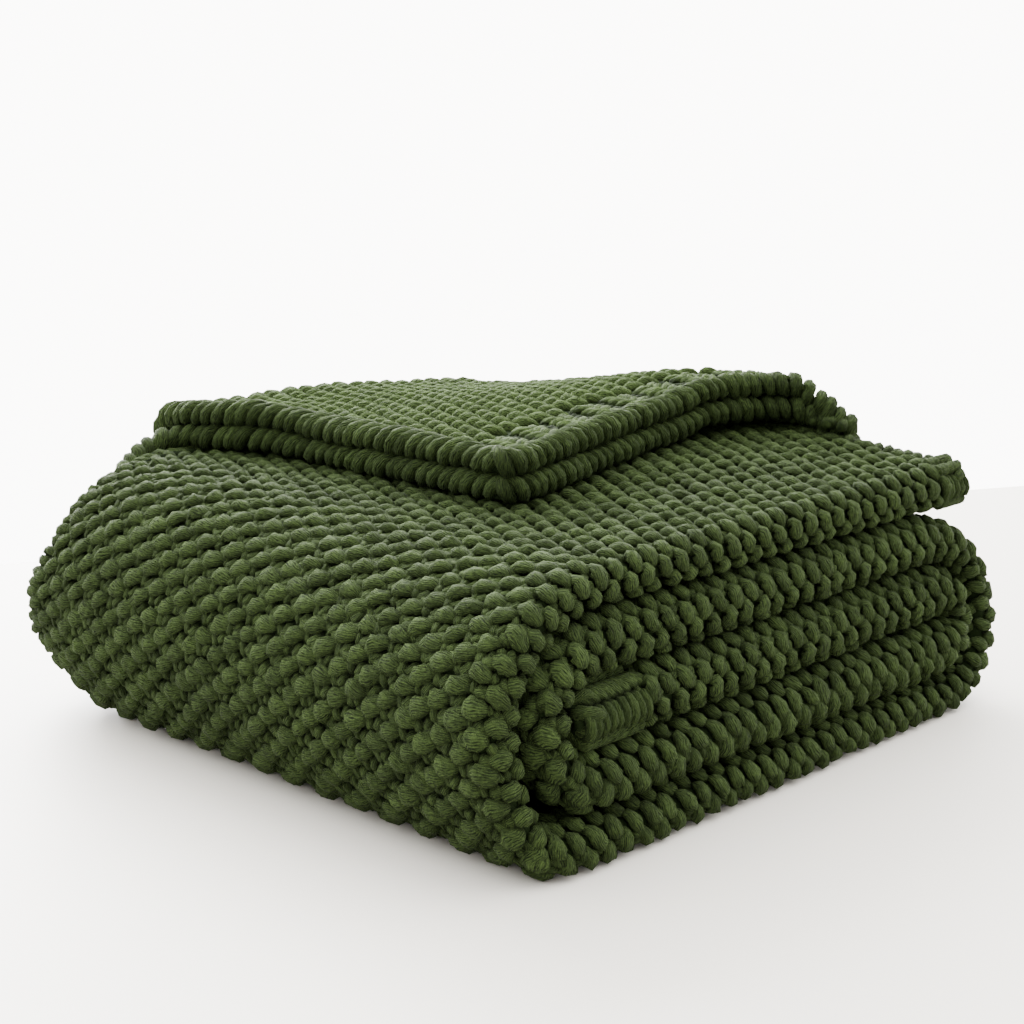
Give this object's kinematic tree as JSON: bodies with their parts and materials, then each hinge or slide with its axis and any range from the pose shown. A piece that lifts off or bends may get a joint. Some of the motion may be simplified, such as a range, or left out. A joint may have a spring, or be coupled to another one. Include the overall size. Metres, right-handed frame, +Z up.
{
  "type": "folded knit throw blanket",
  "caption": "Chunky moss-stitch knit throw, doubled and wound into a flat stack with rounded folds, its open side turned back over the top as a flap.",
  "frame": {"origin": "bottom centre of the bounding box, on the surface that the folded throw rests on", "axes": "+Z up; -Y towards the rounded front folds, +Y towards the open back; +X from the big turn of the stack towards the hem of the top layer"},
  "size_m": [0.389, 0.402, 0.1623],
  "materials": {
    "cotton_knit": "matt, chunky yarn"
  },
  "bodies": {
    "root": {"blanket": "cotton_knit"}
  },
  "joints": []
}
